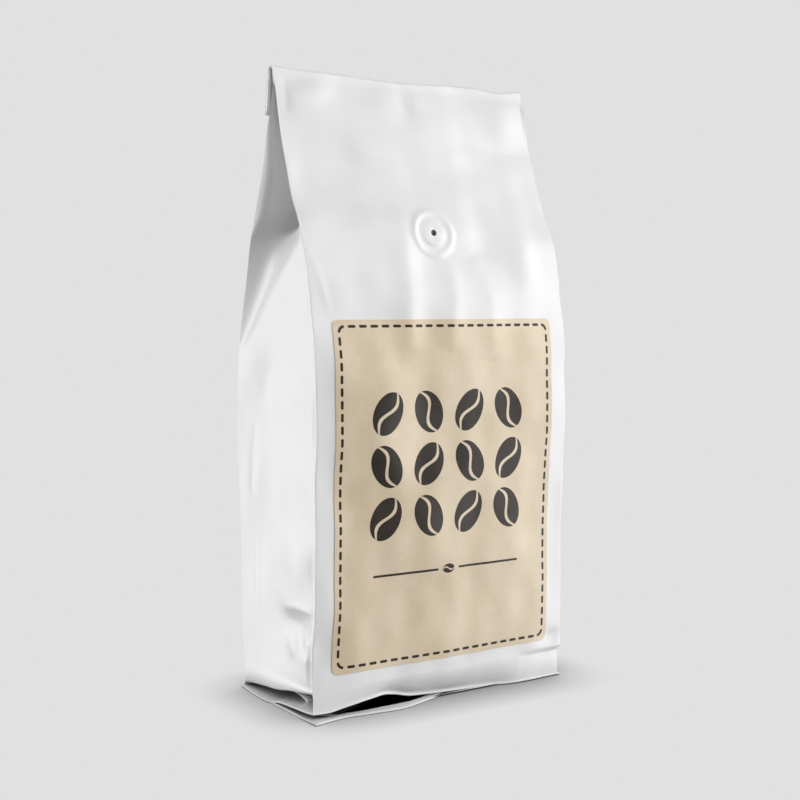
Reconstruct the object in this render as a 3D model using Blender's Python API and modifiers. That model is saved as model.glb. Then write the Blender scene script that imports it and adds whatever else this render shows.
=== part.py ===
"""A filled coffee bag of coated film with side gussets: a flat foot with its seal folded forward,
a front and a back panel that lean together above the beans, a flat top seal folded over to the
back, a glued front label and a round one-way valve.

Metres, +Z up. The origin is the middle of the foot, on the surface the bag stands on. -Y is the
front, with the label.
"""

import math

import bmesh
import bpy
from mathutils import Vector

MM = 0.001

# The filled bag.
WIDTH = 120 * MM  # across the front, crease to crease
HALF_DEPTH = 31.5 * MM  # a side panel's half width, front crease to gusset fold
SEAL_BOTTOM = 243 * MM  # where the two panels meet in the flat top seal
FOLD_HEIGHT = 250.2 * MM  # top of the seal's fold
FILL_HEIGHT = 118 * MM  # below this the beans hold the side panels flat
PANEL_SWELL = 2.0 * MM  # how far the beans push each wide panel out at its middle
SIDE_SWELL = 1.0 * MM
CREASE_RADIUS = 2.5 * MM

# Height and half depth of the bag at its creases, from the foot to the top seal.
DEPTH_KNOTS = [
    (0 * MM, 28.0 * MM),
    (6 * MM, 30.0 * MM),
    (40 * MM, 31.2 * MM),
    (FILL_HEIGHT, HALF_DEPTH),
    (142 * MM, 30.6 * MM),
    (163 * MM, 27.2 * MM),
    (186 * MM, 19.6 * MM),
    (212 * MM, 8.6 * MM),
    (230 * MM, 3.6 * MM),
    (SEAL_BOTTOM, 0.9 * MM),
]
# Height and half width near the foot, where the side panels turn in under the bag.
FOOT_KNOTS = [(0 * MM, 53.0 * MM), (1.5 * MM, 55.0 * MM), (5 * MM, 59.6 * MM), (14 * MM, WIDTH / 2)]

# The top seal, folded once to the back.
SEAL_THICKNESS = 1.0 * MM
FLAP_END_HEIGHT = 231.3 * MM
FLAP_END_Y = 5.9 * MM
FLAP_FOLD_RADIUS = 1.1 * MM
GUSSET_CLOSING = 20 * MM  # height over which the gusset's mouth closes below the top seal

# The foot: the bottom seal lies forward under the front half, a flange shows at the back half.
FOOT_THICKNESS = 1.2 * MM
FOOT_SINK = 0.4 * MM  # how far the bag's own underside is sunk into the foot
FIN_FRONT_LEFT_Y = -33.9 * MM
FIN_FRONT_RIGHT_Y = -30.5 * MM
FIN_HALF_WIDTH = 61.3 * MM
FLANGE_HALF_WIDTH = 62.9 * MM
FLANGE_BACK_HALF_WIDTH = 60.5 * MM
FLANGE_BACK_Y = 26 * MM
FOOT_NOTCH_Y = -2.8 * MM
FOOT_NOTCH_HALF_WIDTH = 60.0 * MM
FOOT_NOTCH_LENGTH = 1.6 * MM

# The label.
LABEL_WIDTH = 104 * MM
LABEL_BOTTOM = 17 * MM
LABEL_TOP = 152.5 * MM
LABEL_CORNER = 2.4 * MM
LABEL_THICKNESS = 0.3 * MM
GAP = 0.3 * MM  # clearance of the label and the valve from the film

# The valve.
VALVE_X = -1.5 * MM
VALVE_HEIGHT = 186.4 * MM
VALVE_CLEARANCE = 0.55 * MM
# Radius and height above the film of the valve's turned face, from its middle to its edge.
VALVE_FACE = [(0, 1.5), (4.9, 1.5), (5.7, 1.2), (7.0, 0.7), (7.9, 0.7), (9.1, 1.2), (9.9, 1.3),
              (10.7, 1.0), (11.8, 0.3), (11.8, 0.0), (0, 0.0)]

RING_SPACING = 6 * MM
PANEL_POINTS = 14
SIDE_POINTS = 10
CORNER_POINTS = 3


def clear_scene():
    for obj in list(bpy.data.objects):
        bpy.data.objects.remove(obj, do_unlink=True)


def collection(name):
    found = bpy.data.collections.new(name)
    bpy.context.scene.collection.children.link(found)
    return found


def material(name, colour, roughness, metallic=0.0):
    made = bpy.data.materials.new(name)
    made.use_nodes = True
    shader = made.node_tree.nodes["Principled BSDF"]
    shader.inputs["Base Color"].default_value = (*colour, 1)
    shader.inputs["Roughness"].default_value = roughness
    shader.inputs["Metallic"].default_value = metallic
    return made


def through(knots, height):
    """A smooth value at this height, through knots of (height, value), with no overshoot."""
    if height <= knots[0][0]:
        return knots[0][1]
    if height >= knots[-1][0]:
        return knots[-1][1]
    slopes = [(b[1] - a[1]) / (b[0] - a[0]) for a, b in zip(knots, knots[1:])]
    tangents = [slopes[0]]
    for before, after in zip(slopes, slopes[1:]):
        same_way = before * after > 0
        tangents.append(2 * before * after / (before + after) if same_way else 0.0)
    tangents.append(slopes[-1])
    i = max(n for n, knot in enumerate(knots[:-1]) if knot[0] <= height)
    span = knots[i + 1][0] - knots[i][0]
    t = (height - knots[i][0]) / span
    return (
        (2 * t**3 - 3 * t**2 + 1) * knots[i][1]
        + (t**3 - 2 * t**2 + t) * span * tangents[i]
        + (3 * t**2 - 2 * t**3) * knots[i + 1][1]
        + (t**3 - t**2) * span * tangents[i + 1]
    )


def half_depth(height):
    return through(DEPTH_KNOTS, height)


def half_width(height):
    return through(FOOT_KNOTS, height)


def swell(height):
    """How much of the beans' push reaches this height: none at the foot and the seal."""
    share = height / SEAL_BOTTOM
    return math.sin(math.pi * min(max(share, 0.0), 1.0)) ** 0.6


def front_y(x, height):
    """The front panel's surface. The back panel mirrors it."""
    across = min(abs(x) / half_width(height), 1.0)
    return -half_depth(height) - PANEL_SWELL * swell(height) * (1 - across**2)


def gusset_depth(height):
    """How deep the side panel's middle fold is pushed in above the beans: the panel's own width
    doesn't change, so it folds in as the two wide panels come together. Its mouth is shut at the
    top seal."""
    if height < FILL_HEIGHT:
        return 0.0
    depth = math.sqrt(max(HALF_DEPTH**2 - half_depth(height) ** 2, 0.0))
    mouth = min(max((SEAL_BOTTOM - height) / GUSSET_CLOSING, 0.0), 1.0)
    return depth * mouth


def section(height):
    """The bag's outline at one height, anticlockwise from the front left crease."""
    width, depth = half_width(height), half_depth(height)
    radius = min(CREASE_RADIUS, 0.6 * depth)
    fold = gusset_depth(height)
    outwards = SIDE_SWELL * swell(height) * (1 - min(fold / (4 * SIDE_SWELL), 1.0))
    front = []
    for i in range(PANEL_POINTS):
        x = (width - radius) * (2 * i / (PANEL_POINTS - 1) - 1)
        front.append((x, front_y(x, height)))
    corner = []
    for i in range(1, CORNER_POINTS + 1):
        turn = math.pi / 2 * i / (CORNER_POINTS + 1)
        # The arc meets the panel's own edge, which the swell has moved a little.
        edge = front[-1][1] + radius
        corner.append((width - radius + radius * math.sin(turn), edge - radius * math.cos(turn)))
    side = []
    reach = -(front[-1][1] + radius)
    for i in range(SIDE_POINTS + 1):
        across = 2 * i / SIDE_POINTS - 1
        x = width - fold * (1 - abs(across)) + outwards * (1 - across**2)
        side.append((x, reach * across))
    right = front[PANEL_POINTS // 2:] + corner + side[: SIDE_POINTS // 2 + 1]
    back_right = [(x, -y) for x, y in reversed(right[:-1])]
    half = right + back_right
    return half + [(-x, y) for x, y in reversed(half)]


def bag_body(into):
    """A loft through the sections: no primitive gives the folded sides."""
    top = FOLD_HEIGHT - SEAL_THICKNESS
    count = round(top / RING_SPACING)
    heights = [top * i / count for i in range(count + 1)]
    heights += [knot[0] for knot in FOOT_KNOTS[1:-1]] + [SEAL_BOTTOM]
    shape = bmesh.new()
    rings = []
    for height in sorted(heights):
        level = max(height, FOOT_SINK)
        rings.append([shape.verts.new((x, y, level)) for x, y in section(height)])
    for low, high in zip(rings, rings[1:]):
        for i in range(len(low)):
            j = (i + 1) % len(low)
            shape.faces.new((low[i], low[j], high[j], high[i]))
    shape.faces.new(list(reversed(rings[0])))
    shape.faces.new(rings[-1])
    bmesh.ops.recalc_face_normals(shape, faces=shape.faces)
    mesh = bpy.data.meshes.new("bag")
    shape.to_mesh(mesh)
    shape.free()
    mesh.shade_smooth()
    mesh.set_sharp_from_angle(angle=math.radians(30))
    body = bpy.data.objects.new("bag", mesh)
    into.objects.link(body)
    return body


def ribbon(name, path, half_length, thickness, into):
    """A strip of film along X that follows a path of (y, z) points, as a helper for a union."""
    shape = bmesh.new()
    edges = [
        [shape.verts.new((side * half_length, y, z)) for y, z in path] for side in (-1, 1)
    ]
    for i in range(len(path) - 1):
        shape.faces.new((edges[0][i], edges[1][i], edges[1][i + 1], edges[0][i + 1]))
    mesh = bpy.data.meshes.new(name)
    shape.to_mesh(mesh)
    shape.free()
    strip = bpy.data.objects.new(name, mesh)
    into.objects.link(strip)
    solid = strip.modifiers.new("thickness", "SOLIDIFY")
    solid.thickness = thickness
    solid.offset = 0
    solid.use_even_offset = True
    return strip


def top_flap(into):
    """The seal stands up from the bag, turns over its fold and hangs behind the back panel."""
    fold_top = FOLD_HEIGHT - SEAL_THICKNESS / 2
    middle_y = FLAP_FOLD_RADIUS
    path = [(0, SEAL_BOTTOM)]
    turns = 6
    for i in range(turns + 1):
        turn = math.pi * i / turns
        path.append((
            middle_y - FLAP_FOLD_RADIUS * math.cos(turn),
            fold_top - FLAP_FOLD_RADIUS * (1 - math.sin(turn)),
        ))
    start_y, start_z = path[-1]
    hang = 4
    for i in range(1, hang + 1):
        share = i / hang
        path.append((
            start_y + (FLAP_END_Y - SEAL_THICKNESS / 2 - start_y) * share**1.5,
            start_z + (FLAP_END_HEIGHT - start_z) * share,
        ))
    return ribbon("top_flap", path, WIDTH / 2, SEAL_THICKNESS, into)


def foot(into):
    """The film under the bag: the folded bottom seal and the flange, with a notch between them."""
    half = [
        (FIN_HALF_WIDTH, None),
        (FIN_HALF_WIDTH, FOOT_NOTCH_Y - FOOT_NOTCH_LENGTH),
        (FOOT_NOTCH_HALF_WIDTH, FOOT_NOTCH_Y),
        (FLANGE_HALF_WIDTH, FOOT_NOTCH_Y + FOOT_NOTCH_LENGTH),
        (FLANGE_BACK_HALF_WIDTH, FLANGE_BACK_Y),
    ]
    right = [(x, FIN_FRONT_RIGHT_Y if y is None else y) for x, y in half]
    left = [(-x, FIN_FRONT_LEFT_Y if y is None else y) for x, y in half]
    shape = bmesh.new()
    shape.faces.new([shape.verts.new((x, y, 0)) for x, y in right + left[::-1]])
    mesh = bpy.data.meshes.new("foot")
    shape.to_mesh(mesh)
    shape.free()
    sole = bpy.data.objects.new("foot", mesh)
    into.objects.link(sole)
    solid = sole.modifiers.new("thickness", "SOLIDIFY")
    solid.thickness = FOOT_THICKNESS
    solid.offset = 1
    return sole


def join(body, other):
    union = body.modifiers.new(f"join {other.name}", "BOOLEAN")
    union.operation = "UNION"
    union.solver = "EXACT"
    union.object = other
    other.hide_render = True
    other.display_type = "WIRE"


def label(into):
    """A paper label with rounded corners that follows the front panel."""
    height = LABEL_TOP - LABEL_BOTTOM
    shape = bmesh.new()
    bmesh.ops.create_grid(shape, x_segments=16, y_segments=24, size=0.5)
    corners = [v for v in shape.verts if abs(v.co.x) > 0.49 and abs(v.co.y) > 0.49]
    for v in shape.verts:
        v.co.x *= LABEL_WIDTH
        v.co.y *= height
    bmesh.ops.bevel(
        shape, geom=corners, offset=LABEL_CORNER, segments=5, affect="VERTICES", profile=0.5
    )
    for v in shape.verts:
        x, z = v.co.x, v.co.y + (LABEL_TOP + LABEL_BOTTOM) / 2
        v.co = Vector((x, front_y(x, z) - GAP, z))
    mesh = bpy.data.meshes.new("label")
    shape.to_mesh(mesh)
    shape.free()
    mesh.shade_smooth()
    sheet = bpy.data.objects.new("label", mesh)
    into.objects.link(sheet)
    solid = sheet.modifiers.new("thickness", "SOLIDIFY")
    solid.thickness = LABEL_THICKNESS
    solid.offset = 1
    return sheet


def valve(into):
    """A low turned button with a ring round it, square to the leaning front panel."""
    mesh = bpy.data.meshes.new("valve")
    points = [(radius * MM, 0, height * MM) for radius, height in VALVE_FACE]
    mesh.from_pydata(points, [(i, i + 1) for i in range(len(points) - 1)], [])
    button = bpy.data.objects.new("valve", mesh)
    into.objects.link(button)
    turn = button.modifiers.new("turned", "SCREW")
    turn.steps = turn.render_steps = 48
    turn.use_merge_vertices = True
    turn.merge_threshold = 0.00001
    turn.use_smooth_shade = True
    step = 4 * MM
    rise = front_y(VALVE_X, VALVE_HEIGHT + step) - front_y(VALVE_X, VALVE_HEIGHT - step)
    outwards = Vector((0, -2 * step, rise)).normalized()
    seat = Vector((VALVE_X, front_y(VALVE_X, VALVE_HEIGHT), VALVE_HEIGHT))
    button.location = seat + outwards * VALVE_CLEARANCE
    button.rotation_euler = outwards.to_track_quat("Z", "Y").to_euler()
    return button


clear_scene()
pack = collection("coffee_bag")
helpers = collection("joined_pieces")
film = material("white_film", (0.86, 0.86, 0.86), 0.32)
bag = bag_body(pack)
bag.data.materials.append(film)
join(bag, foot(helpers))
join(bag, top_flap(helpers))
label(pack).data.materials.append(material("kraft_label", (0.72, 0.60, 0.45), 0.6))
valve(pack).data.materials.append(material("valve_plastic", (0.86, 0.86, 0.86), 0.4))
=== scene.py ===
import bpy
import math
import numpy as np
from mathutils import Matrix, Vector


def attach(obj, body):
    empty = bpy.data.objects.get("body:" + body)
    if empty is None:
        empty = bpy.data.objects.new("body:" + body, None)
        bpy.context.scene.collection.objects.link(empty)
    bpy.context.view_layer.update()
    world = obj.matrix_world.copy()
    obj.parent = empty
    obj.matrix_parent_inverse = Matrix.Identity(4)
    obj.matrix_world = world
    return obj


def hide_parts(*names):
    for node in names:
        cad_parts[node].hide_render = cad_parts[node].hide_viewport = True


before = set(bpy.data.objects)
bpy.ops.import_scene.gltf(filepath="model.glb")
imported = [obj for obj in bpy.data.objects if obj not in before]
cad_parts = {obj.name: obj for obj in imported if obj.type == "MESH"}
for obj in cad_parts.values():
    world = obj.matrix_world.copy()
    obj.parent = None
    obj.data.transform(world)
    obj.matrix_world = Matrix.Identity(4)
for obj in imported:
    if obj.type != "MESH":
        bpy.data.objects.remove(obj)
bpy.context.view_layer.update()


# ---- The pouch -------------------------------------------------------------------------------
# One tube of white coated film, folded in at both sides and filled with beans for two thirds of
# its height. Above the beans the panels lean together into a flat seal, which turns over once and
# hangs down behind the back. Lengths in the script are millimetres, and become metres in a mesh.

MM = 0.001
HALF_WIDTH = 60
FOOT_TOP, SEAL_FOOT = 12, 243
BODY_ROWS = 208
CREASE_ROUND = 0.15
FRONT_COLUMNS, RIGHT_COLUMNS, BACK_COLUMNS, LEFT_COLUMNS, CREASE_COLUMNS = 140, 52, 56, 84, 5


def through(knots, at):
    """A smooth curve with no overshoot through (place, value) knots, read at one or many places."""
    place, value = np.array(knots, float).T
    slope = np.diff(value) / np.diff(place)
    tangent = np.zeros(len(place))
    tangent[0], tangent[-1] = slope[0], slope[-1]
    before, after = slope[:-1], slope[1:]
    same = before * after > 0
    tangent[1:-1][same] = 2 * (before * after)[same] / (before + after)[same]
    at = np.clip(at, place[0], place[-1])
    i = np.clip(np.searchsorted(place, at, "right") - 1, 0, len(place) - 2)
    span = place[i + 1] - place[i]
    t = (at - place[i]) / span
    return (
        (2 * t**3 - 3 * t**2 + 1) * value[i] + (t**3 - 2 * t**2 + t) * span * tangent[i]
        + (3 * t**2 - 2 * t**3) * value[i + 1] + (t**3 - t**2) * span * tangent[i + 1]
    )


# Each crease's distance from the middle of the pouch, by height.
front_left = [(0, -28.4), (10, -28.9), (40, -29.9), (70, -31), (106, -32.2), (125, -31.9), (145, -30.4),
              (167, -26.6), (186, -20.4), (201, -13.2), (213, -8.6), (225, -5), (236, -2.3), (243, -0.9)]
front_right = [(0, -29), (10, -29.3), (40, -29.8), (78, -30.4), (101, -31.1), (135, -31.8), (156, -29.3),
               (183, -23), (198, -16.6), (213, -9.8), (225, -5.6), (236, -2.5), (243, -0.9)]
back_left = [(0, 28), (10, 28.5), (20, 30.2), (40, 31), (70, 31.6), (109, 32.7), (127, 32.9), (141, 31.4),
             (158, 27.6), (170, 24.2), (186, 19.6), (194, 16.4), (211, 9.9), (230, 4.2), (243, 0.6)]
back_right = [(0, 28.5), (10, 29), (40, 30.6), (80, 31.6), (120, 32.2), (140, 31.2), (160, 27.4), (183, 21),
              (200, 14), (213, 9), (228, 4.4), (243, 0.6)]

# The fold in a side panel, by height: where the ridge that starts it lies, how deep the valley
# goes, how far in front of the back crease it is, and how much film stays flat before that crease.
ridge_left = [(139, 31), (151.3, 16.2), (164, 4.1), (174.5, -8.4), (184.3, -20.3)]
ridge_right = [(142, 30), (153, 15), (166, 2), (176, -10), (186, -22)]
fold_depth = [(139, 0), (150, 1.9), (160, 3.6), (168, 5.1), (176, 6.9), (183, 9.6), (186, 12), (189, 17),
              (193, 21), (200, 25), (215, 30), (236, 30), (240, 26), (243, 0)]
fold_back = [(139, 0.4), (150, 6.5), (160, 10.5), (168, 12.5), (176, 12.5), (184, 11), (190, 10), (243, 10)]
fold_lip = [(184, 0), (190, 3), (198, 6), (206, 5), (225, 2), (240, 0)]
LIP_DEPTH, VALLEY_ROUND = 0.28, 9


def rounded(corners, trims, count):
    """A path through corners, each inner one rounded off over its two trims, as evenly spaced points."""
    corners = [np.array(c, float) for c in corners]
    path = [corners[0]]
    for before, corner, after, (trim_in, trim_out) in zip(corners, corners[1:], corners[2:], trims):
        into, out = corner - before, after - corner
        length_in, length_out = max(np.linalg.norm(into), 1e-6), max(np.linalg.norm(out), 1e-6)
        start = corner - into / length_in * min(trim_in, 0.5 * length_in)
        end = corner + out / length_out * min(trim_out, 0.75 * length_out)
        for t in np.linspace(0, 1, 16):
            path.append((1 - t) ** 2 * start + 2 * t * (1 - t) * corner + t**2 * end)
    path.append(corners[-1])
    path = np.array(path)
    along = np.concatenate([[0], np.cumsum(np.linalg.norm(np.diff(path, axis=0), axis=1))])
    want = np.linspace(0, along[-1], count)
    return np.stack([np.interp(want, along, path[:, k]) for k in (0, 1)], axis=1)


def side_panel(z, front_y, back_y, ridge, count):
    """A side panel at one height as (depth pushed in, y), from the front crease to the back one."""
    ridge_y = float(np.clip(through(ridge, z), front_y, back_y))
    depth = float(through(fold_depth, z))
    if z < ridge[0][0] or depth < 0.01:
        y = np.linspace(front_y, back_y, count)
        return np.stack([0 * y, y], axis=1)
    valley_y = back_y - min(float(through(fold_back, z)), 0.7 * (back_y - ridge_y))
    lip_y = back_y - min(float(through(fold_lip, z)), 0.5 * (back_y - valley_y))
    valley_round = 0.35 * (valley_y - ridge_y)
    lip_width = back_y - lip_y
    corners = [(0, front_y), (0, ridge_y), (depth, valley_y), (LIP_DEPTH * lip_width, lip_y), (0, back_y)]
    return rounded(corners, [(3, valley_round), (VALLEY_ROUND, VALLEY_ROUND), (0.5 * lip_width, 0.6 * lip_width)], count)


def broad_panel(start, end, left_y, right_y, bow, count):
    """The front or back panel at one height: bowed outward between its two creases."""
    x = np.linspace(start, end, count)
    s = x / HALF_WIDTH
    return np.stack([x, left_y + (right_y - left_y) * (s + 1) / 2 + bow * (1 - s**2)], axis=1)


def ring(z):
    """The pouch's outline at one height, anticlockwise from above, starting at the front left crease."""
    front_l, front_r = through(front_left, z), through(front_right, z)
    back_l, back_r = through(back_left, z), through(back_right, z)
    swell = math.sin(math.pi * min(z / SEAL_FOOT, 1)) ** 0.7
    front = broad_panel(-HALF_WIDTH, HALF_WIDTH, front_l, front_r, -2.2 * swell, FRONT_COLUMNS)
    back = broad_panel(HALF_WIDTH, -HALF_WIDTH, back_l, back_r, 1.6 * swell, BACK_COLUMNS)
    bulge = 0.9 * math.sin(math.pi * min(z / 140, 1)) ** 0.7 if z < 140 else 0
    left = side_panel(z, front_l, back_l, ridge_left, LEFT_COLUMNS)
    right = side_panel(z, front_r, back_r, ridge_right, RIGHT_COLUMNS)
    left[:, 0] -= bulge * np.sin(np.linspace(0, np.pi, LEFT_COLUMNS))
    right[:, 0] -= bulge * np.sin(np.linspace(0, np.pi, RIGHT_COLUMNS))
    left = np.stack([-HALF_WIDTH + left[:, 0], left[:, 1]], axis=1)[::-1]
    right = np.stack([HALF_WIDTH - right[:, 0], right[:, 1]], axis=1)
    runs = [front, right, back, left]
    loop = []
    for run, following in zip(runs, runs[1:] + runs[:1]):
        corner = run[-1]
        into, out = corner - run[-2], following[1] - corner
        start = corner - into / np.linalg.norm(into) * CREASE_ROUND
        end = corner + out / np.linalg.norm(out) * CREASE_ROUND
        t = np.linspace(0, 1, CREASE_COLUMNS)[:, None]
        loop += [run[1:-1], (1 - t) ** 2 * start + 2 * t * (1 - t) * corner + t**2 * end]
    return np.concatenate(loop)


heights = np.linspace(FOOT_TOP, SEAL_FOOT, BODY_ROWS)
body = np.array([np.column_stack([ring(z), np.full(len(ring(z)), z)]) for z in heights])

# Which columns of the tube belong to which panel, and which way each column faces. The columns of
# a crease turn from one panel's way to the next one's.
panel_sizes = [FRONT_COLUMNS - 2, RIGHT_COLUMNS - 2, BACK_COLUMNS - 2, LEFT_COLUMNS - 2]
panel_starts = np.cumsum([0] + [size + CREASE_COLUMNS for size in panel_sizes])
FRONT, RIGHT, BACK, LEFT = (slice(start, start + size) for start, size in zip(panel_starts, panel_sizes))
columns = int(panel_starts[-1])
facing_of = [(FRONT, (0, -1)), (RIGHT, (1, 0)), (BACK, (0, 1)), (LEFT, (-1, 0))]
outward = np.zeros((columns, 2))
for part, way in facing_of:
    outward[part] = way


def over_creases(values):
    """Fills the columns of each crease between the values that the panels on its two sides have."""
    for part in (FRONT, RIGHT, BACK, LEFT):
        first, last = values[part.stop - 1], values[(part.stop + CREASE_COLUMNS) % columns]
        for k in range(CREASE_COLUMNS):
            t = (k + 1) / (CREASE_COLUMNS + 1)
            values[part.stop + k] = (1 - t) * first + t * last
    return values


over_creases(outward)


def mound(a, b, at, reach, lean, height):
    """A soft rise (or, with a minus height, a dent), its longer reach leaning by so many degrees."""
    c, s = math.cos(math.radians(lean)), math.sin(math.radians(lean))
    along, across = (a - at[0]) * c + (b - at[1]) * s, (b - at[1]) * c - (a - at[0]) * s
    return height * np.exp(-((along / reach[0]) ** 2) - (across / reach[1]) ** 2)


def crease(a, b, points, width, height, crisp=1.3):
    """A ridge (or, with a minus height, a furrow) along points, which dies away at both ends."""
    points = np.array(points, float)
    lengths = np.linalg.norm(np.diff(points, axis=0), axis=1)
    nearest, place, walked = np.full(np.shape(a), 1e9), np.zeros(np.shape(a)), 0.0
    for start, end, length in zip(points, points[1:], lengths):
        way = (end - start) / length
        t = np.clip((a - start[0]) * way[0] + (b - start[1]) * way[1], 0, length)
        distance = np.hypot(a - start[0] - way[0] * t, b - start[1] - way[1] * t)
        place = np.where(distance < nearest, (walked + t) / lengths.sum(), place)
        nearest = np.minimum(distance, nearest)
        walked += length
    fade = np.clip(4 * place * (1 - place), 0, 1) ** 0.5
    return height * fade * np.exp(-((nearest / width) ** crisp))


def crumple(a, b, seed, wave, height):
    """The low unevenness of film that has been handled: a few long waves of mixed directions."""
    draw = np.random.RandomState(seed)
    total = 0 * a
    for _ in range(9):
        turn, length, phase = draw.uniform(0, np.pi), wave * draw.uniform(0.6, 1.8), draw.uniform(0, 6.28)
        total = total + np.sin((a * np.cos(turn) + b * np.sin(turn)) * 2 * np.pi / length + phase)
    return height * total / 3


# Dents, mounds and creases that the beans and the handling have left, as outward heights.
def front_dents(x, z):
    return (
        mound(x, z, (-47, 239), (12, 6), 35, 1.7)
        + crease(x, z, [(-56.5, 231), (-55.5, 247)], 1.6, -0.5)
        + mound(x, z, (-16, 236), (10, 7), 0, 1.5)
        + mound(x, z, (-2, 240), (4, 6), 0, -1.1)
        + mound(x, z, (48, 236), (13, 8), 0, 1.7)
        + crease(x, z, [(20, 226), (38, 222), (60, 221)], 3, -0.4, 1.8)
        + mound(x, z, (-22, 218), (26, 9), -42, 1.6)
        + mound(x, z, (2, 216), (34, 28), 0, 2.4)
        + mound(x, z, (-44, 206), (12, 12), 0, -1.2)
        + mound(x, z, (-54, 190), (7, 6), 0, 1.3)
        + mound(x, z, (-54, 209), (9, 5), 90, -0.8)
        + mound(x, z, (24, 186), (18, 8), 90, -0.8)
        + mound(x, z, (42, 180), (18, 8), 90, 1.2)
        + crease(x, z, [(-14, 196), (-17, 170), (-19, 140)], 6, 1.1, 1.8)
        + crease(x, z, [(4, 178), (4, 160), (0, 140)], 5, 1.0, 1.8)
        + crease(x, z, [(18, 178), (22, 160), (20, 136)], 6, 0.9, 1.8)
        + crease(x, z, [(-60, 187), (-55.6, 169), (-52, 154)], 1.4, 0.25)
        + crease(x, z, [(-28, 136), (-29, 110), (-27, 84)], 9, 0.9, 1.8)
        + crease(x, z, [(-16, 84), (0, 52), (10, 14)], 14, 0.7, 1.8)
        + mound(x, z, (-57, 28), (7, 4), 90, -0.5)
        + mound(x, z, (-54, 104), (22, 5), 90, -0.3)
        + mound(x, z, (56, 18), (7, 3), 0, -1.0)
        + crumple(x, z, 3, 52, 0.55)
        + crumple(x, z, 4, 24, 0.18)
    )


front_relief = front_dents(body[:, FRONT, 0], body[:, FRONT, 2])

y, z = body[:, LEFT, 1], body[:, LEFT, 2]
front_depth_left = through(front_left, z)
left_relief = (
    crease(y, z, [(-6, 41), (-18, 42), (-36, 42.5)], 2.2, 0.6)
    + mound(y, z, (-16, 34.5), (12, 6), 6, -1.1)
    + mound(y, z, (-14, 27), (5, 4), 20, 0.8)
    + crease(y, z, [(-22, 31), (-32, 26)], 1.6, 0.4)
    + crease(y, z, [(-20, 24), (-32, 20)], 1.6, 0.3)
    + crease(y, z, [(12, 22), (12.5, 46), (12, 70)], 1.2, 0.12)
    + crease(y, z, [(16.5, 22), (16, 46), (17, 70)], 1.2, 0.12)
    + crease(y, z, [(14, 112), (18, 96), (20, 82)], 2.5, 0.5)
    + mound(y, z, (-14, 84), (16, 9), 60, -0.8)
    + mound(y, z, (-18, 60), (9, 7), 0, 0.6)
    + mound(y, z, (4, 122), (22, 9), 90, 0.5)
    + crumple(y, z, 5, 46, 0.4)
) * np.clip((ridge_left[0][0] + 8 - z) / 14, 0, 1) * np.clip((y - front_depth_left) / 4, 0.25, 1)

y, z = body[:, RIGHT, 1], body[:, RIGHT, 2]
right_relief = (
    crease(y, z, [(2, 48), (12, 42), (28, 40)], 2.4, 0.9)
    + mound(y, z, (15, 33), (13, 5), -8, -0.9)
    + crease(y, z, [(-16, 108), (-18, 90), (-14, 70)], 3, 0.6)
    + mound(y, z, (6, 92), (20, 9), 70, -0.6)
    + mound(y, z, (-8, 60), (10, 8), 0, 0.6)
    + crumple(y, z, 7, 46, 0.35)
) * np.clip((ridge_right[0][0] + 8 - z) / 14, 0, 1)

x, z = body[:, BACK, 0], body[:, BACK, 2]
back_relief = (
    crease(x, z, [(-60, 196), (-34, 180), (-12, 176)], 4, 0.7)
    + crease(x, z, [(60, 190), (38, 176), (20, 172)], 4, 0.7)
    + crease(x, z, [(-20, 172), (-18, 150), (-22, 124)], 5, 0.6)
    + crease(x, z, [(22, 176), (26, 152), (22, 128)], 5, 0.6)
    + mound(x, z, (0, 205), (22, 9), 10, -0.6)
    + mound(x, z, (-34, 110), (26, 11), 80, 0.6)
    + mound(x, z, (30, 84), (24, 12), 100, 0.7)
    + mound(x, z, (4, 60), (20, 14), 0, -0.6)
    + crease(x, z, [(-60, 30), (-44, 26), (-30, 14)], 2.4, 0.7)
    + crease(x, z, [(60, 34), (46, 28), (34, 14)], 2.4, 0.7)
    + crumple(x, z, 11, 60, 0.5)
)

# The tube's long seam: one edge of the film laps over the other down the middle of the back.
SEAM_HALF = 7
back_relief += 0.35 * (np.tanh((x + SEAM_HALF) / 0.5) - np.tanh((x - SEAM_HALF) / 0.9)) / 2

relief = np.zeros(body.shape[:2])
relief[:, FRONT], relief[:, RIGHT], relief[:, BACK], relief[:, LEFT] = (
    front_relief, right_relief, back_relief, left_relief)
moved = relief[..., None] * outward

# A crease moves as both its panels do there, and a side panel goes along, less and less inward.
EDGE_FADE = 14
for side, front_edge, back_edge in ((RIGHT, FRONT.stop - 1, BACK.start), (LEFT, FRONT.start, BACK.stop - 1)):
    y, free = body[:, side, 1], 1 - np.clip((heights[:, None] - 229) / 14, 0, 1)
    from_front = y - y.min(axis=1, keepdims=True)
    from_back = y.max(axis=1, keepdims=True) - y
    moved[:, side, 1] += free * (relief[:, [back_edge]] * np.exp(-from_back / EDGE_FADE)
                                 - relief[:, [front_edge]] * np.exp(-from_front / EDGE_FADE))
for part in (FRONT, RIGHT, BACK, LEFT):
    ahead = (part.stop + CREASE_COLUMNS) % columns
    x_from, y_from = (ahead, part.stop - 1) if part in (FRONT, BACK) else (part.stop - 1, ahead)
    for k in range(part.stop, part.stop + CREASE_COLUMNS):
        moved[:, k] = np.stack([moved[:, x_from, 0], moved[:, y_from, 1]], axis=-1)
body[..., :2] += moved

# Near the seal the back and side panels lie against the front one, and take its dents.
behind = np.setdiff1d(np.arange(columns), np.arange(FRONT.start, FRONT.stop))
x, z = body[:, behind, 0], body[:, behind, 2]
body[:, behind, 1] -= front_dents(x, z) * np.clip((z - 229) / 14, 0, 1)

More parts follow.
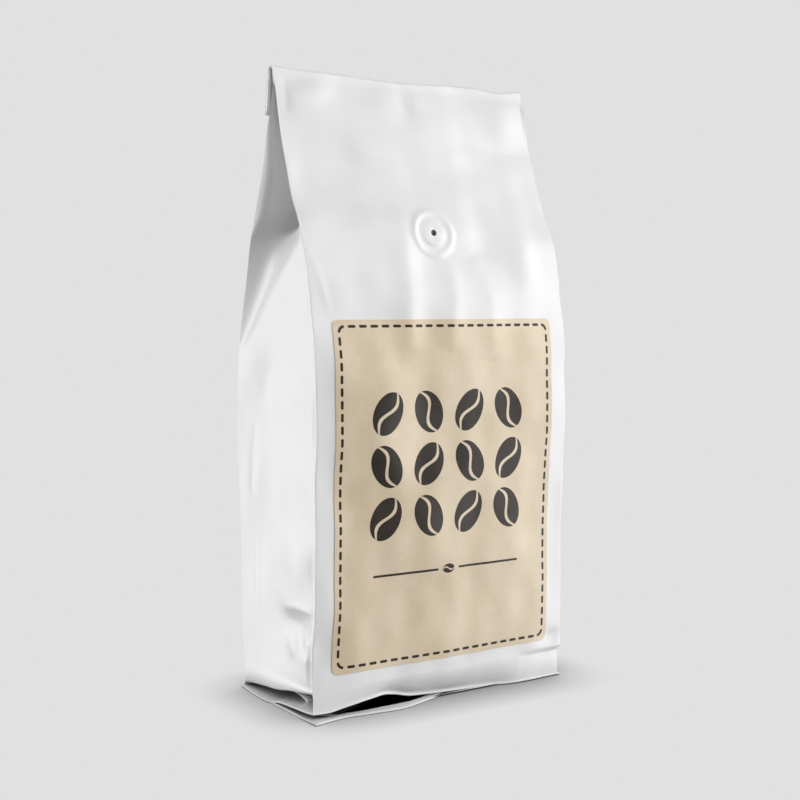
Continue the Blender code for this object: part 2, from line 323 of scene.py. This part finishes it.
# The lower right corner is folded over, and its face turns to the right.
TAB_FROM, TAB_TOP = 38, 13
x, z = body[..., 0], body[..., 2]
turned = np.clip((x - TAB_FROM) / (HALF_WIDTH - TAB_FROM), 0, 1) * np.clip((TAB_TOP - z) / 2.5, 0, 1)
tab = turned * (3.4 * np.clip(1 - z / TAB_TOP, 0, 1) - 6.4)
near_front = np.clip((-14 - body[..., 1]) / 14, 0, 1)
body[..., 1] -= tab * near_front
body[..., 0] += 3.6 * near_front * np.clip((x - 40) / 20, 0, 1) * np.clip((12 - z) / 8, 0, 1)

# The foot: below FOOT_TOP each side panel ends in a lip, tucks in under it, and comes back out to a
# lower fold that lies on the floor. The front and back panels only turn under.
lip_left = [(-29, 10.8), (-20, 9.6), (-10, 8.0), (-1, 6.2), (8, 5.3), (20, 3.8), (30, 2)]
lip_right = [(-30, 1.6), (-18, 3.4), (0, 5), (18, 6.2), (30, 5.4)]
fold_height_left = [(-29, 3.6), (-14, 2.9), (-3, 2.1), (0.5, 1.4), (2.5, 0.95), (30, 0.95)]
fold_out_left = [(-29, 0), (-2, 0.4), (1.5, 0.9), (5, 1.7), (12, 1.8), (22, 1.3), (30, 0.8)]
edge_front = [(-60, 3.6), (-54, 3.4), (-46, 4.4), (-36, 5.4), (-28, 5.8), (-21, 4.6), (-13, 2.7), (-4, 2.0),
              (6, 1.6), (18, 1.2), (30, 1.1), (42, 1.3), (60, 1.2)]
curl_front = [(-60, 0.1), (-50, 0.5), (-34, 1.8), (-20, 4.6), (-8, 5.6), (8, 4.8), (26, 3.6), (38, 0.8), (60, 0)]

foot_start = body[0]
lip_height, pocket_depth, fold_height, fold_out, curl = (np.zeros(columns) for _ in range(5))
y, x = foot_start[LEFT, 1], foot_start[FRONT, 0]
lip_height[LEFT], fold_height[LEFT], fold_out[LEFT] = (
    through(lip_left, y), through(fold_height_left, y), through(fold_out_left, y))
pocket_depth[LEFT] = 16 * np.clip((30 - y) / 8, 0.15, 1)
lip_height[FRONT] = through(edge_front, x) + 0.5
fold_height[FRONT], curl[FRONT] = through(edge_front, x), through(curl_front, x)
y, x = foot_start[RIGHT, 1], foot_start[BACK, 0]
lip_height[RIGHT], pocket_depth[RIGHT] = through(lip_right, y), 4.5 * np.sin(np.pi * np.clip((y + 30) / 60, 0.02, 0.98))
fold_height[RIGHT], fold_out[RIGHT] = 0.95, 1.6
lip_height[BACK], fold_height[BACK], fold_out[BACK], curl[BACK] = 2.2, 0.95, 3.2, 0.4
for values in (lip_height, fold_height, fold_out, curl):
    over_creases(values)

# Between the two pockets under the left panel a fold of film runs down from the lip to the corner.
TUCK_TOP, TUCK_RUN, TUCK_HALF = 0.0, -23.0, 5.0
FOLD_ROUND = 0.42
UNDERSIDE_REACH = 11.0
foot_rows = []
steps = [("wall", t) for t in np.linspace(0, 1, 10)[1:]]
steps += [("pocket", t) for t in np.linspace(0, 1, 11)[1:]]
steps += [("fold", t) for t in np.linspace(0, 1, 5)[1:]]
steps += [("under", t) for t in (0.15, 0.5, 1.0)]
tuck_y = foot_start[:, 1]
is_left = np.zeros(columns)
is_left[LEFT] = 1
for stage, t in steps:
    if stage == "wall":
        inset = curl * t**1.6
        height = FOOT_TOP + (lip_height - FOOT_TOP) * t
        inset = inset - 0.5 * is_left * np.sin(np.pi * t) * 0.4
    elif stage == "pocket":
        tucked = np.exp(-(((tuck_y - TUCK_TOP - TUCK_RUN * t) / TUCK_HALF) ** 2)) * is_left
        shape = min(1, 1.25 * math.sin(math.pi * min(1, 0.06 + 0.94 * t)) ** 0.55)
        depth = pocket_depth * (1 - 0.72 * tucked) * shape
        height = lip_height + (fold_height - lip_height) * t
        inset = curl + depth * (1 - t**8) - fold_out * t**3
    elif stage == "fold":
        angle = math.pi * t
        inset = curl - fold_out - FOLD_ROUND * math.sin(angle)
        height = fold_height - FOLD_ROUND * (1 - math.cos(angle))
    else:
        inset = curl - fold_out + UNDERSIDE_REACH * t
        rest = np.where(tuck_y < 0, 0.8, 0.2)
        height = fold_height - 2 * FOLD_ROUND + (rest - fold_height + 2 * FOLD_ROUND) * t
    row = foot_start.copy()
    row[:, :2] = foot_start[:, :2] - outward * inset[:, None]
    row[:, 2] = np.maximum(height, 0.05)
    foot_rows.append(row)
foot_rows = np.array(foot_rows[::-1])

# The seal goes up, turns over on a small radius and comes back down: its middle line as (y, z).
TURN_HEIGHT, TURN_RADIUS, TURN_Y = 248.9, 0.85, 0.5
SEAL_THICK, FLAP_THICK = 0.75, 1.5
FLAP_ROWS_FROM = 14
turn = [(TURN_Y + TURN_RADIUS * (1 - math.cos(a)), TURN_HEIGHT + TURN_RADIUS * math.sin(a))
        for a in np.linspace(0.2, math.pi, 9)]
seal_line = [(-0.15, 243), (0.1, 245), (0.4, 247), (TURN_Y, TURN_HEIGHT)] + turn
seal_line += [(2.25, 247.5), (2.6, 245), (2.9, 242.5), (3.3, 239), (3.8, 236), (4.3, 233.5), (4.7, 231.4)]
seal_line = np.array(seal_line)
top_edge = [(-60, 0), (-41, -0.8), (-30, -0.9), (-14, -1.4), (0, -1.6), (25, -0.5), (36, -0.6), (48, -1.5), (60, 0)]
along = np.gradient(seal_line, axis=0)
along /= np.linalg.norm(along, axis=1)[:, None]
last = np.array([*ring(SEAL_FOOT).T, np.full(columns, float(SEAL_FOOT))]).T
through_seal = (last[:, 1] - last[:, 1].min()) / np.ptp(last[:, 1]) - 0.5
seal_rows = []
for k in range(1, len(seal_line)):
    row = last.copy()
    row[:, 0] *= 1 + 0.016 * min(1, max(0, (k - 8) / 6))
    thick = SEAL_THICK if k < FLAP_ROWS_FROM else FLAP_THICK
    row[:, 1] = seal_line[k, 0] + along[k, 1] * through_seal * thick
    row[:, 2] = seal_line[k, 1] - along[k, 0] * through_seal * thick
    wavy = min(1, k / 3) if k < FLAP_ROWS_FROM else max(0.3, 1 - (k - FLAP_ROWS_FROM) / 6)
    row[:, 1] -= front_dents(row[:, 0], np.minimum(row[:, 2], TURN_HEIGHT)) * (1 if k < FLAP_ROWS_FROM else 0.5)
    row[:, 2] += through(top_edge, row[:, 0]) * wavy
    seal_rows.append(row)

tube = np.concatenate([foot_rows, body, seal_rows])


def closed_tube(name, grid):
    """An object whose mesh is a tube of rows, each a closed loop of points, with both ends filled."""
    count, around = grid.shape[:2]
    index = np.arange(count * around).reshape(count, around)
    after = np.roll(index, -1, axis=1)
    faces = np.stack([index[:-1], after[:-1], after[1:], index[1:]], axis=-1).reshape(-1, 4).tolist()
    faces += [index[0, ::-1].tolist(), index[-1].tolist()]
    mesh = bpy.data.meshes.new(name)
    mesh.from_pydata((grid.reshape(-1, 3) * MM).tolist(), [], faces)
    mesh.shade_smooth()
    piece = bpy.data.objects.new(name, mesh)
    bpy.context.scene.collection.objects.link(piece)
    return piece


class Wire:
    """A value in a material's nodes. Sums on it add Math nodes, and node() adds any other node."""

    def __init__(self, tree, socket=None):
        self.tree, self.socket = tree, socket

    def node(self, kind, settings=None, sockets=None, output=0):
        """Adds a node: its settings are made first, then its sockets get their values or links."""
        added = self.tree.nodes.new("ShaderNode" + kind)
        for name, value in (settings or {}).items():
            if name == "stops":
                for element, stop in zip(added.color_ramp.elements, value):
                    element.position, element.color = stop
            else:
                setattr(added, name, value)
        for name, value in (sockets or {}).items():
            if isinstance(value, Wire):
                self.tree.links.new(value.socket, added.inputs[name])
            else:
                added.inputs[name].default_value = value
        return Wire(self.tree, added.outputs[output])

    def math(self, operation, *values):
        return self.node("Math", {"operation": operation}, dict(enumerate(values)))

    def __add__(self, other):
        return self.math("ADD", self, other)

    def __sub__(self, other):
        return self.math("SUBTRACT", self, other)

    def __rsub__(self, other):
        return self.math("SUBTRACT", other, self)

    def __mul__(self, other):
        return self.math("MULTIPLY", self, other)

    def __truediv__(self, other):
        return self.math("DIVIDE", self, other)

    def __pow__(self, other):
        return self.math("POWER", self, other)

    __radd__, __rmul__ = __add__, __mul__

    def within(self, low, high):
        """0 where this is below low, 1 above high, and a smooth step between."""
        settings = {"interpolation_type": "SMOOTHSTEP"}
        return self.node("MapRange", settings, {"Value": self, "From Min": low, "From Max": high})

    def blend(self, low, high):
        """The colour low where this is 0 and high where it is 1."""
        return self.node("Mix", {"data_type": "RGBA"}, {0: self, 6: low, 7: high}, 2)


def material_of(name, sockets):
    """A new material with these constants on its Principled shader, and the start of a chain of nodes."""
    material = bpy.data.materials.new(name)
    material.use_nodes = True
    shader = material.node_tree.nodes["Principled BSDF"]
    for key, value in sockets.items():
        shader.inputs[key].default_value = value
    return material, Wire(material.node_tree)


def feed(material, **wires):
    """Links wires to the Principled shader's sockets: Base_Color=wire, Roughness=wire and so on."""
    shader = material.node_tree.nodes["Principled BSDF"]
    for key, wire in wires.items():
        material.node_tree.links.new(wire.socket, shader.inputs[key.replace("_", " ")])


# The film: white ink under a satin lacquer, pearly, with a fine grain and long faint draw lines.
# Its colour also carries painted shade: an Ambient Occlusion mask darkens it to a dark grey in folds,
# pockets and gaps, where shade falls.
FILM_LIGHT, FILM_DULL, FILM_PAINTED_SHADE = (0.80, 0.80, 0.80, 1), (0.765, 0.765, 0.77, 1), (0.20, 0.20, 0.20, 1)
PAINTED_SHADE_REACH = 0.012
film, start = material_of("film", {"IOR": 1.55})
place = start.node("TexCoord", output="Object")
clouds = start.node("TexNoise", None, {"Vector": place, "Scale": 38.0, "Detail": 3.0, "Roughness": 0.55})
grain = start.node("TexNoise", None, {"Vector": place, "Scale": 1900.0, "Detail": 2.0})
drawn_place = place.node("VectorMath", {"operation": "MULTIPLY"}, {0: place, 1: (900.0, 900.0, 26.0)})
drawn = start.node("TexNoise", None, {"Vector": drawn_place, "Scale": 1.0, "Detail": 1.0})
# Painted shade: the film's colour turns dark grey close to other geometry (Ambient Occlusion).
free_of_painted_shade = start.node("AmbientOcclusion", {"samples": 8}, {"Distance": PAINTED_SHADE_REACH}, "AO").within(0.05, 0.42)
feed(film, Base_Color=free_of_painted_shade.blend(FILM_PAINTED_SHADE, clouds.within(0.3, 0.7).blend(FILM_DULL, FILM_LIGHT)))
feed(film, Roughness=0.30 + 0.07 * clouds + 0.03 * drawn)
wrinkles = start.node("TexNoise", None, {"Vector": place, "Scale": 120.0, "Detail": 2.0, "Distortion": 0.6})
film_height = 0.55 * wrinkles + 0.12 * grain + 0.10 * drawn
feed(film, Normal=start.node("Bump", None, {"Height": film_height, "Strength": 0.12, "Distance": 0.0004}))

pouch = closed_tube("pouch", tube)
pouch.data.materials.append(film)
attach(pouch, "root")
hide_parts("bag")


# ---- The bottom seal -----------------------------------------------------------------------------
# The film under the foot is sealed into a stiff double layer, trimmed a little wider than the
# pouch, which lies flat on the floor and shows its cut edge in front of the panel and at the left.

SEAL_LIFT, BOTTOM_SEAL_THICK = 0.05, 0.8
seal_front = [(-61.6, -33.7), (-56, -32.4), (-47, -31.0), (-36.8, -32.1), (-23.9, -33.2), (-9, -29.6), (0, -26.2),
              (8, -23), (20, -21), (30, -20.5), (48, -21), (60, -22)]
seal_back = [(-62, 5), (-40, 4), (0, 4), (40, 4), (59, 4)]
SEAL_SPAN = 120
s = np.linspace(0, 1, SEAL_SPAN)
front_x, back_x = -61.7 + 121.7 * s, -62 + 121.0 * s
front_edge = np.stack([front_x, through(seal_front, front_x)], axis=1)
back_edge = np.stack([back_x, through(seal_back, back_x)], axis=1)
profile = [(0.012, 0.0), (0.002, 0.2), (0.0, 0.5), (0.006, 0.85), (0.02, 1.0), (0.06, 0.96), (0.2, 0.9), (0.5, 0.85),
           (1.0, 0.85), (1.0, 0.0), (0.5, 0.0)]
loops = []
for k in range(SEAL_SPAN):
    loop = []
    for t, rise in profile:
        spot = front_edge[k] + (back_edge[k] - front_edge[k]) * t
        loop.append((*spot, SEAL_LIFT + BOTTOM_SEAL_THICK * rise))
    loops.append(loop)
bottom_seal = closed_tube("bottom_seal", np.array(loops))
bottom_seal.data.materials.append(film)
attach(bottom_seal, "root")
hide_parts("bag")


# ---- The label -----------------------------------------------------------------------------------
# A sheet of cream paper with round corners, stuck on the front panel, so it takes every dent of the
# film under it. A row of printed stitches runs round it just inside the edge.

LABEL_X, LABEL_LOW, LABEL_HIGH, LABEL_CORNER = 52.0, 17.0, 152.5, 2.4
LABEL_GAP, LABEL_THICK = 0.04, 0.26
front_x = body[0, FRONT, 0]
front_depth = body[:, FRONT, 1]


def film_at(x, z):
    """How far back the front panel's film lies at any (x, z), read from the pouch's own mesh."""
    x, z = np.broadcast_arrays(np.asarray(x, float), np.asarray(z, float))
    i = np.clip((x - front_x[0]) / (front_x[1] - front_x[0]), 0, len(front_x) - 1.001)
    k = np.clip((z - heights[0]) / (heights[1] - heights[0]), 0, len(heights) - 1.001)
    i0, k0 = i.astype(int), k.astype(int)
    u, v = i - i0, k - k0
    low = front_depth[k0, i0] * (1 - u) + front_depth[k0, i0 + 1] * u
    high = front_depth[k0 + 1, i0] * (1 - u) + front_depth[k0 + 1, i0 + 1] * u
    return low * (1 - v) + high * v


def round_sheet(half_length, half_width, corner, rows, columns):
    """A grid over a sheet with round corners, as (along, across) places round its middle."""
    turn = np.linspace(0, np.pi / 2, 7)
    ends = half_length - corner + corner * np.sin(turn)
    middle = np.linspace(-(half_length - corner), half_length - corner, rows)[1:-1]
    along = np.concatenate([-ends[::-1], middle, ends])
    past = np.maximum(np.abs(along) - (half_length - corner), 0)
    width = half_width - corner + np.sqrt(np.maximum(corner**2 - past**2, 0))
    across = width[:, None] * np.linspace(-1, 1, columns)[None, :]
    return np.stack([np.repeat(along[:, None], columns, axis=1), across], axis=-1)


def lay_on_film(grids, low, high):
    """Vertices and faces of thin closed solids over the front panel, one for each grid of (x, z)."""
    points, faces, base = [], [], 0
    for grid in grids:
        rows, across = grid.shape[:2]
        depth = film_at(grid[..., 0], grid[..., 1])
        for height in (low, high):
            points.append(np.stack([grid[..., 0], depth - height, grid[..., 1]], axis=-1).reshape(-1, 3))
        size = rows * across
        index = base + np.arange(size).reshape(rows, across)
        upper = index + size
        faces += np.stack([index[:-1, :-1], index[1:, :-1], index[1:, 1:], index[:-1, 1:]], -1).reshape(-1, 4).tolist()
        faces += np.stack([upper[:-1, :-1], upper[:-1, 1:], upper[1:, 1:], upper[1:, :-1]], -1).reshape(-1, 4).tolist()
        rim = np.concatenate([index[0, :-1], index[:-1, -1], index[-1, :0:-1], index[:0:-1, 0]])
        ahead = np.roll(rim, -1)
        faces += np.stack([rim, ahead, ahead + size, rim + size], axis=-1).tolist()
        base += 2 * size
    return np.concatenate(points), faces


def laid_piece(name, grids, low, high):
    points, faces = lay_on_film(grids, low, high)
    mesh = bpy.data.meshes.new(name)
    mesh.from_pydata((points * MM).tolist(), [], faces)
    mesh.shade_smooth()
    mesh.set_sharp_from_angle(angle=math.radians(50))
    piece = bpy.data.objects.new(name, mesh)
    bpy.context.scene.collection.objects.link(piece)
    return piece


LABEL_MIDDLE = np.array([0.0, (LABEL_LOW + LABEL_HIGH) / 2])
HALF_TALL = (LABEL_HIGH - LABEL_LOW) / 2
label_grid = round_sheet(HALF_TALL, LABEL_X, LABEL_CORNER, 130, 104)[..., ::-1] + LABEL_MIDDLE
label = laid_piece("label_sheet", [label_grid], LABEL_GAP, LABEL_GAP + LABEL_THICK)

PAPER_LIGHT, PAPER_DARK, FLECK = (0.70, 0.58, 0.418, 1), (0.64, 0.515, 0.355, 1), (0.47, 0.36, 0.235, 1)
paper, start = material_of("paper", {"IOR": 1.5, "Specular IOR Level": 0.75})
place = start.node("TexCoord", output="Object")
clouds = start.node("TexNoise", None, {"Vector": place, "Scale": 55.0, "Detail": 4.0, "Roughness": 0.6})
fibre_place = place.node("VectorMath", {"operation": "MULTIPLY"}, {0: place, 1: (1.0, 1.0, 0.45)})
fibres = start.node("TexNoise", None, {"Vector": fibre_place, "Scale": 1300.0, "Detail": 3.0, "Roughness": 0.6})
flecks = fibres.within(0.66, 0.76)
tone = (0.7 * clouds + 0.3 * fibres).within(0.36, 0.64)
feed(paper, Base_Color=(flecks * 0.35).blend(tone.blend(PAPER_DARK, PAPER_LIGHT), FLECK))
feed(paper, Roughness=0.36 + 0.10 * fibres)
feed(paper, Normal=start.node("Bump", None, {"Height": fibres, "Strength": 0.10, "Distance": 0.0002}))
label.data.materials.append(paper)
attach(label, "root")
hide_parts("label")

# The print: dashes like stitches on a round-cornered line, a block of coffee beans where a maker
# would put a name, and a rule with a small bean in its middle under it.
INK_LIFT = 0.035
DASH_INSET, DASH_LONG, DASH_WIDE, DASH_PITCH, LINE_CORNER = 2.5, 3.3, 1.1, 4.8, 2.4
line_x, line_z = LABEL_X - DASH_INSET, HALF_TALL - DASH_INSET
dash = round_sheet(DASH_LONG / 2, DASH_WIDE / 2, DASH_WIDE / 2, 4, 5)
prints = []
for half, other, upright in ((line_x, line_z, False), (line_z, line_x, True)):
    run = 2 * (half - LINE_CORNER) - 1.6
    count = round(run / DASH_PITCH)
    for side in (-1, 1):
        for k in range(count):
            middle = -run / 2 + run * (k + 0.5) / count
            if upright:
                prints.append(dash[..., ::-1] + np.array([side * other, middle]))
            else:
                prints.append(dash + np.array([middle, side * other]))
for side_x in (-1, 1):
    for side_z in (-1, 1):
        turn = round_sheet(DASH_LONG / 2 + 0.2, DASH_WIDE / 2, DASH_WIDE / 2, 8, 5)
        angle = math.pi / 4 + turn[..., 0] / LINE_CORNER
        radius = LINE_CORNER + turn[..., 1]
        corner_at = np.array([side_x * (line_x - LINE_CORNER), side_z * (line_z - LINE_CORNER)])
        prints.append(corner_at + np.stack([side_x * radius * np.cos(angle), side_z * radius * np.sin(angle)], -1))


def bean(middle, long, wide, lean, slit):
    """The two halves of a coffee bean, parted by its curved slit, each as a grid of (x, z)."""
    halves = []
    v = np.sin(np.linspace(-np.pi / 2, np.pi / 2, 21))[:, None]
    edge = 0.5 * wide * np.sqrt(np.maximum(1 - v**2, 0.0004))
    middle_line = 0.16 * wide * np.sin(np.pi * v)
    for side in (-1, 1):
        t = np.linspace(0, 1, 7)[None, :]
        near = middle_line + side * 0.5 * slit * (1 - 0.5 * v**4)
        far = side * np.maximum(edge, side * near + 0.02)
        across = near + (far - near) * t
        grid = np.stack([across, np.repeat(0.5 * long * v, 7, axis=1)], axis=-1)
        c, s = math.cos(math.radians(lean)), math.sin(math.radians(lean))
        halves.append(grid @ np.array([[c, s], [-s, c]]) + np.array(middle))
    return halves


BEAN_LONG, BEAN_WIDE, BEAN_LEAN, BEAN_SLIT = 17.6, 12.6, -28.0, 1.5
bean_rows, bean_columns = (31.8, 11.4, -9.0), (-30.0, -10.4, 9.2, 28.8)
for row, up in enumerate(bean_rows):
    for column, right in enumerate(bean_columns):
        lean = BEAN_LEAN if (row + column) % 2 == 0 else -BEAN_LEAN
        prints += bean((right, up), BEAN_LONG, BEAN_WIDE, lean, BEAN_SLIT)
prints += bean((0, -31.2), 5.6, 3.8, -90, 0.6)
for side in (-1, 1):
    rule = round_sheet(15.0, 0.45, 0.45, 24, 4)
    prints.append(rule + np.array([side * 20.0, -31.2]))
print_piece = laid_piece("label_print", [grid + LABEL_MIDDLE for grid in prints],
                         LABEL_GAP + LABEL_THICK, LABEL_GAP + LABEL_THICK + INK_LIFT)
INK_DARK, INK_WORN = (0.020, 0.013, 0.008, 1), (0.032, 0.021, 0.013, 1)
ink, start = material_of("ink", {"IOR": 1.5, "Specular IOR Level": 0.3})
place = start.node("TexCoord", output="Object")
worn = start.node("TexNoise", None, {"Vector": place, "Scale": 900.0, "Detail": 4.0, "Roughness": 0.65})
feed(ink, Base_Color=worn.within(0.42, 0.68).blend(INK_DARK, INK_WORN))
feed(ink, Roughness=0.36 + 0.12 * worn)
feed(ink, Normal=start.node("Bump", None, {"Height": worn, "Strength": 0.08, "Distance": 0.0002}))
print_piece.data.materials.append(ink)
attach(print_piece, "root")
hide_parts("label")


# ---- The valve -----------------------------------------------------------------------------------
# A one-way valve welded behind the film, which stands out over it as a soft ring round a raised
# button. A pin has pricked the film in the middle of the button, where the gas gets out.

VALVE_X, VALVE_Z = -1.5, 186.4
PIN_RADIUS, PIN_DEEP = 0.5, 2.2
valve_profile = [(0.0, 1.1 - PIN_DEEP), (PIN_RADIUS * 0.9, 1.1 - PIN_DEEP), (PIN_RADIUS, 0.0), (PIN_RADIUS, 0.95),
                 (PIN_RADIUS + 0.15, 1.1), (2.3, 1.1), (3.9, 1.05), (4.6, 0.95), (5.1, 0.78), (5.6, 0.6),
                 (6.2, 0.46), (6.8, 0.42), (7.3, 0.5), (7.8, 0.68), (8.3, 0.84), (8.8, 0.9), (9.2, 0.84),
                 (9.7, 0.64), (10.2, 0.38), (10.7, 0.18), (11.3, 0.06), (12.0, 0.01), (12.1, -0.6)]
AROUND = 96
lean_z = float(film_at(VALVE_X, VALVE_Z + 4) - film_at(VALVE_X, VALVE_Z - 4)) / 8
up = np.array([lean_z, 1.0]) / math.hypot(lean_z, 1)
outward_way = np.array([-up[1], up[0]])
angles = np.linspace(0, 2 * np.pi, AROUND, endpoint=False)
valve_rows = []
for radius, height in valve_profile:
    x = VALVE_X + radius * np.cos(angles)
    z_flat = VALVE_Z + radius * np.sin(angles) * up[1]
    uneven = 1 + 0.35 * np.cos(2 * (angles - math.radians(160))) * (1 if radius > 5.5 else 0.3)
    rise = 0.75 * height * (uneven if height > 0 and radius > 1 else 1)
    y = film_at(x, z_flat) + rise * outward_way[0]
    valve_rows.append(np.stack([x, y, z_flat + rise * outward_way[1]], axis=1))
valve = closed_tube("valve_button", np.array(valve_rows))
valve.data.set_sharp_from_angle(angle=math.radians(50))

valve_film, start = material_of("valve_film", {"IOR": 1.55})
place = start.node("TexCoord", output="Object")
from_pin = place.node("VectorMath", {"operation": "DISTANCE"},
                      {0: place, 1: (VALVE_X * MM, float(film_at(VALVE_X, VALVE_Z)) * MM, VALVE_Z * MM)}, 1)
clouds = start.node("TexNoise", None, {"Vector": place, "Scale": 38.0, "Detail": 3.0, "Roughness": 0.55})
grain = start.node("TexNoise", None, {"Vector": place, "Scale": 1900.0, "Detail": 2.0})
# Painted shade: a near-black disc round the pin stands for the shade inside the pinhole.
pin_painted_shade = 1 - (from_pin * 1000).within(1.45, 1.62)
whites = clouds.within(0.3, 0.7).blend(FILM_DULL, FILM_LIGHT)
feed(valve_film, Base_Color=pin_painted_shade.blend(whites, (0.01, 0.01, 0.01, 1)))
feed(valve_film, Roughness=0.30 + 0.07 * clouds)
feed(valve_film, Normal=start.node("Bump", None, {"Height": grain, "Strength": 0.05, "Distance": 0.0004}))
valve.data.materials.append(valve_film)
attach(valve, "root")
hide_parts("valve")


# ---- The studio ----------------------------------------------------------------------------------
# A white floor and backdrop that the camera sees at one even grey, and large soft boxes round the
# pouch. Close to what stands on it, the floor's glow carries a painted contact shadow from an Ambient
# Occlusion mask.

BACKDROP = 0.753
ROOM = 0.26
FLOOR_GLOW = 0.3
SHADE_REACH = 0.026

world = bpy.data.worlds.new("studio")
bpy.context.scene.world = world
world.use_nodes = True
start = Wire(world.node_tree)
seen = start.node("LightPath", output="Is Camera Ray")
background = world.node_tree.nodes["Background"]
background.inputs["Color"].default_value = (1, 1, 1, 1)
world.node_tree.links.new((seen * (BACKDROP - ROOM) + ROOM).socket, background.inputs["Strength"])

FLOOR_HALF = 60
floor_mesh = bpy.data.meshes.new("floor")
corners = [(-FLOOR_HALF, -FLOOR_HALF, 0), (FLOOR_HALF, -FLOOR_HALF, 0), (FLOOR_HALF, FLOOR_HALF, 0),
           (-FLOOR_HALF, FLOOR_HALF, 0)]
floor_mesh.from_pydata(corners, [], [(0, 1, 2, 3)])
floor = bpy.data.objects.new("floor", floor_mesh)
bpy.context.scene.collection.objects.link(floor)
floor_glow = bpy.data.materials.new("floor")
floor_glow.use_nodes = True
floor_glow.node_tree.nodes.clear()
start = Wire(floor_glow.node_tree)
seen = start.node("LightPath", output="Is Camera Ray")
# Painted contact shadow: the floor's glow is dimmed where Ambient Occlusion finds something near.
painted_contact_shadow_factor = start.node("AmbientOcclusion", {"samples": 16}, {"Distance": SHADE_REACH}, "AO")
glow = start.node("Emission", None, {"Strength": seen * painted_contact_shadow_factor * BACKDROP + (1 - seen) * FLOOR_GLOW})
output = floor_glow.node_tree.nodes.new("ShaderNodeOutputMaterial")
floor_glow.node_tree.links.new(glow.socket, output.inputs["Surface"])
floor_mesh.materials.append(floor_glow)
floor.visible_diffuse = floor.visible_glossy = floor.visible_shadow = False


# Close to the pouch the floor also blocks and returns light, as the real one does.
NEAR_X, NEAR_Y = 0.076, 0.045
near_mesh = bpy.data.meshes.new("near_floor")
NEAR_Z = -0.0005
corners = [(-NEAR_X, -NEAR_Y, NEAR_Z), (NEAR_X, -NEAR_Y, NEAR_Z), (NEAR_X, NEAR_Y, NEAR_Z), (-NEAR_X, NEAR_Y, NEAR_Z)]
near_mesh.from_pydata(corners, [], [(0, 1, 2, 3)])
near_floor = bpy.data.objects.new("near_floor", near_mesh)
bpy.context.scene.collection.objects.link(near_floor)
near_glow = bpy.data.materials.new("near_floor")
near_glow.use_nodes = True
near_glow.node_tree.nodes.clear()
near_emission = near_glow.node_tree.nodes.new("ShaderNodeBsdfDiffuse")
near_emission.inputs["Color"].default_value = (0.45, 0.45, 0.45, 1)
near_output = near_glow.node_tree.nodes.new("ShaderNodeOutputMaterial")
near_glow.node_tree.links.new(near_emission.outputs[0], near_output.inputs["Surface"])
near_mesh.materials.append(near_glow)
near_floor.visible_camera = False


def softbox(name, azimuth, elevation, width, height, radiance, distance=1.2):
    light = bpy.data.lights.new(name, "AREA")
    light.shape = "RECTANGLE"
    light.size, light.size_y = width, height
    light.energy = radiance * math.pi * width * height
    box = bpy.data.objects.new(name, light)
    bpy.context.scene.collection.objects.link(box)
    a, e = math.radians(azimuth), math.radians(elevation)
    away = Vector((math.sin(a) * math.cos(e), -math.cos(a) * math.cos(e), math.sin(e)))
    box.location = Vector((0, 0, 0.12)) + away * distance
    box.rotation_euler = away.to_track_quat("Z", "Y").to_euler()
    box.visible_camera = False
    return box


softbox("left_back", -139, -3, 0.6, 0.9, 5.6)
softbox("front", 2, 36, 1.0, 0.8, 2.1)
softbox("front_right", 56, 2, 1.0, 1.4, 3.0)
softbox("right", 100, 5, 0.9, 1.1, 0.7)
softbox("behind", 180, 0, 0.9, 1.3, 0.9)
softbox("top", -60, 80, 0.9, 0.9, 0.8)

camera_data = bpy.data.cameras.new("camera")
camera = bpy.data.objects.new("camera", camera_data)
bpy.context.scene.collection.objects.link(camera)
bpy.context.scene.camera = camera
camera_data.sensor_width = 36
camera_data.lens = 60.9
a, e = math.radians(-33.2), math.radians(4.0)
away = Vector((math.sin(a) * math.cos(e), -math.cos(a) * math.cos(e), math.sin(e)))
camera.location = Vector((-0.0019, 0, 0.1188)) + away * 0.5606
camera.rotation_euler = away.to_track_quat("Z", "Y").to_euler()
camera_data.clip_end = 200
bpy.context.scene.view_settings.view_transform = "Standard"
